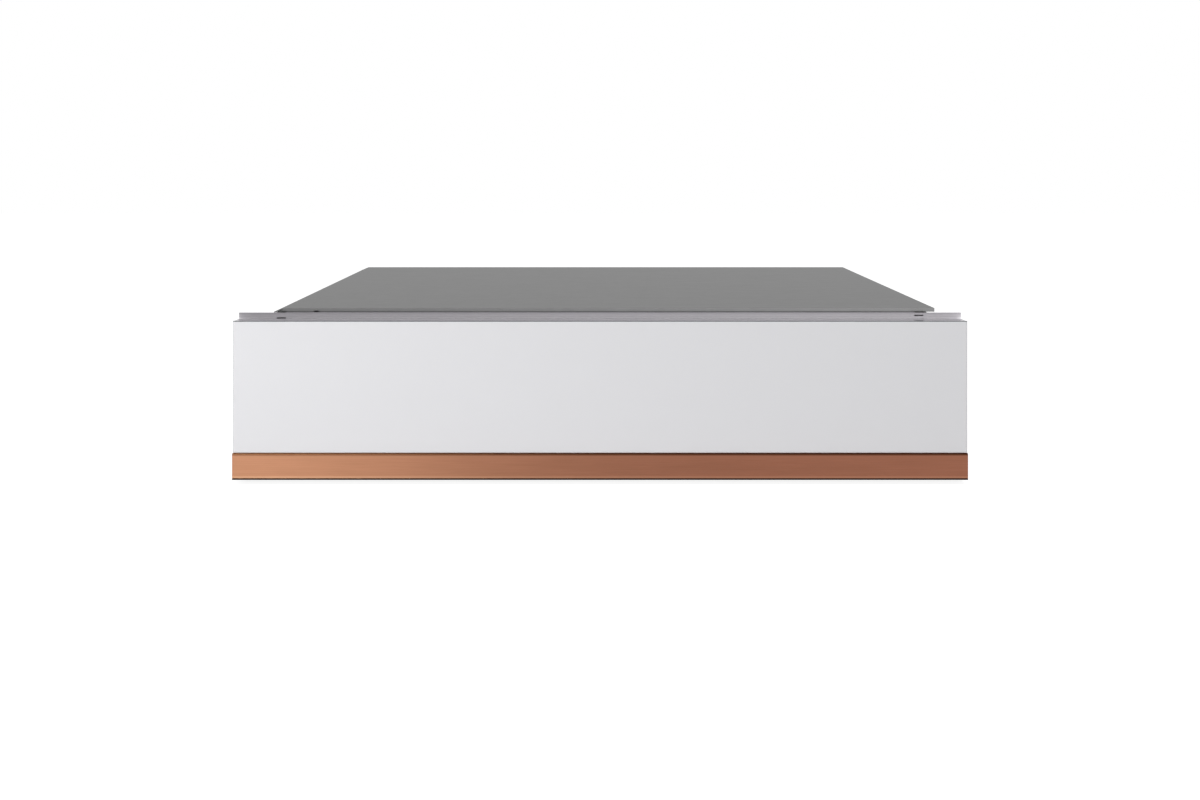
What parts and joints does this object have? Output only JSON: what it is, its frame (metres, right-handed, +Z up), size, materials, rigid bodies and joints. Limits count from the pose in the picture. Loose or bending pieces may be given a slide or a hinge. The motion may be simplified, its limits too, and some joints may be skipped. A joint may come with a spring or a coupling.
{
  "type": "vacuum sealing drawer",
  "caption": "Built-in vacuum sealing drawer: white glass front with a copper-coloured strip, steel housing, pull-out body with a vacuum chamber, glass lid and sealing bar.",
  "frame": {"origin": "middle of the housing's base, under the middle of the closed drawer's bounding box", "axes": "+X to the right of someone who stands before the drawer, front faces -Y, +Z up"},
  "size_m": [0.595, 0.54, 0.14],
  "materials": {
    "galvanised_sheet": "matt galvanised steel sheet",
    "zinc_flange": "zinc-plated steel, satin",
    "white_glass": "float glass painted white on its back, polished",
    "copper_trim": "copper-coloured anodised aluminium, brushed",
    "pan_steel": "grey powder-coated steel",
    "stainless": "stainless steel, brushed",
    "black_rubber": "moulded rubber",
    "grey_silicone": "moulded silicone",
    "red_silicone": "extruded silicone",
    "tinted_glass": "toughened float glass, grey tint",
    "black_glass": "glass painted black on its back",
    "runner_steel": "bright zinc-plated steel",
    "black_plastic": "moulded polyamide",
    "grey_plastic": "moulded acetal",
    "circuit_board": "epoxy laminate with solder mask",
    "cast_aluminium": "die-cast aluminium, blasted",
    "motor_paint": "dark grey enamel",
    "core_steel": "laminated electrical steel",
    "pipe_metal": "drawn copper tube",
    "aluminium_profile": "natural anodised aluminium",
    "bright_steel": "ground steel",
    "heater_cloth": "glass cloth coated with PTFE over the heating wire"
  },
  "bodies": {
    "housing": {"housing_shell": "galvanised_sheet", "top_cover": "galvanised_sheet", "front_flange": "zinc_flange", "rear_panel": "galvanised_sheet", "rear_frame": "galvanised_sheet", "rear_screws": "bright_steel", "cable_inlet": "black_plastic", "front_buffers": "black_rubber", "runner_outer_left": "runner_steel", "runner_outer_right": "runner_steel", "push_latch": "grey_plastic"},
    "plunger": {"latch_plunger": "grey_plastic"},
    "middle_left": {"runner_middle_left": "runner_steel"},
    "middle_right": {"runner_middle_right": "runner_steel"},
    "cage_outer_left": {"ball_cage_outer_left": "bright_steel"},
    "cage_outer_right": {"ball_cage_outer_right": "bright_steel"},
    "cage_inner_left": {"ball_cage_inner_left": "bright_steel"},
    "cage_inner_right": {"ball_cage_inner_right": "bright_steel"},
    "drawer": {"runner_inner_left": "runner_steel", "runner_inner_right": "runner_steel", "drawer_tray": "galvanised_sheet", "tray_rear_wall": "galvanised_sheet", "front_pan": "pan_steel", "front_plate": "pan_steel", "front_glass": "white_glass", "trim_strip": "copper_trim", "strip_end_caps": "copper_trim", "deck": "stainless", "chamber": "stainless", "lid_gasket": "grey_silicone", "control_base": "black_plastic", "control_glass": "black_glass", "control_board": "circuit_board", "hinge_brackets": "stainless", "hinge_pins": "bright_steel", "rear_cover": "galvanised_sheet", "vacuum_pump": "cast_aluminium", "pump_motor": "motor_paint", "motor_cowl": "black_plastic", "pump_mounts": "black_rubber", "mist_filter": "cast_aluminium", "valve_block": "black_plastic", "suction_port": "bright_steel", "suction_pipe": "pipe_metal", "pump_pipe": "pipe_metal", "exhaust_pipe": "pipe_metal", "sealing_transformer": "core_steel", "power_board": "circuit_board", "fan_frame": "black_plastic", "lift_cylinders": "aluminium_profile"},
    "lid": {"lid_glass": "tinted_glass", "lid_clamp_left": "stainless", "lid_clamp_right": "stainless", "counter_holder": "aluminium_profile", "counter_bar": "red_silicone"},
    "sealing_bar": {"sealing_bar": "aluminium_profile", "heating_strip": "heater_cloth"},
    "fan": {"fan_rotor": "black_plastic"},
    "motor_rotor": {"motor_fan": "black_plastic"}
  },
  "joints": [
    {"name": "drawer_slide", "type": "slide", "parent": "housing", "child": "drawer", "axis": [0, -1, 0], "range_m": [-0.0025, 0.44]},
    {"name": "runner_left_slide", "type": "slide", "parent": "housing", "child": "middle_left", "axis": [0, -1, 0], "range_m": [-0.00145, 0.2202]},
    {"name": "runner_right_slide", "type": "slide", "parent": "housing", "child": "middle_right", "axis": [0, -1, 0], "range_m": [-0.00145, 0.2202]},
    {"name": "cage_outer_left_slide", "type": "slide", "parent": "housing", "child": "cage_outer_left", "axis": [0, -1, 0], "range_m": [-0.00082, 0.1102]},
    {"name": "cage_outer_right_slide", "type": "slide", "parent": "housing", "child": "cage_outer_right", "axis": [0, -1, 0], "range_m": [-0.00082, 0.1102]},
    {"name": "cage_inner_left_slide", "type": "slide", "parent": "housing", "child": "cage_inner_left", "axis": [0, -1, 0], "range_m": [-0.00208, 0.3302]},
    {"name": "cage_inner_right_slide", "type": "slide", "parent": "housing", "child": "cage_inner_right", "axis": [0, -1, 0], "range_m": [-0.00208, 0.3302]},
    {"name": "latch_plunger_slide", "type": "slide", "parent": "housing", "child": "plunger", "axis": [0, -1, 0], "range_m": [-0.00042, 0.0382]},
    {"name": "lid_hinge", "type": "hinge", "parent": "drawer", "child": "lid", "pos_m": [0, 0.081, 0.1153], "axis": [-1, 0, 0], "range_deg": [-0.1, 45]},
    {"name": "sealing_bar_lift", "type": "slide", "parent": "drawer", "child": "sealing_bar", "axis": [0, 0, 1], "range_m": [0, 0.008]},
    {"name": "cooling_fan_spin", "type": "hinge", "parent": "drawer", "child": "fan", "pos_m": [0.182, 0.206, 0.0555], "axis": [0, 1, 0], "continuous": true},
    {"name": "motor_shaft_spin", "type": "hinge", "parent": "drawer", "child": "motor_rotor", "pos_m": [0.046, 0.142, 0.062], "axis": [1, 0, 0], "continuous": true}
  ],
  "couplings": [
    {"joint": "runner_left_slide", "follows": "drawer_slide", "ratio": 0.5},
    {"joint": "runner_right_slide", "follows": "drawer_slide", "ratio": 0.5},
    {"joint": "cage_outer_left_slide", "follows": "drawer_slide", "ratio": 0.25},
    {"joint": "cage_outer_right_slide", "follows": "drawer_slide", "ratio": 0.25},
    {"joint": "cage_inner_left_slide", "follows": "drawer_slide", "ratio": 0.75},
    {"joint": "cage_inner_right_slide", "follows": "drawer_slide", "ratio": 0.75},
    {"joint": "latch_plunger_slide", "follows": "drawer_slide", "ratio": 0.086364},
    {"joint": "lid_hinge", "follows": "drawer_slide", "rad_per_m": 0.46}
  ]
}
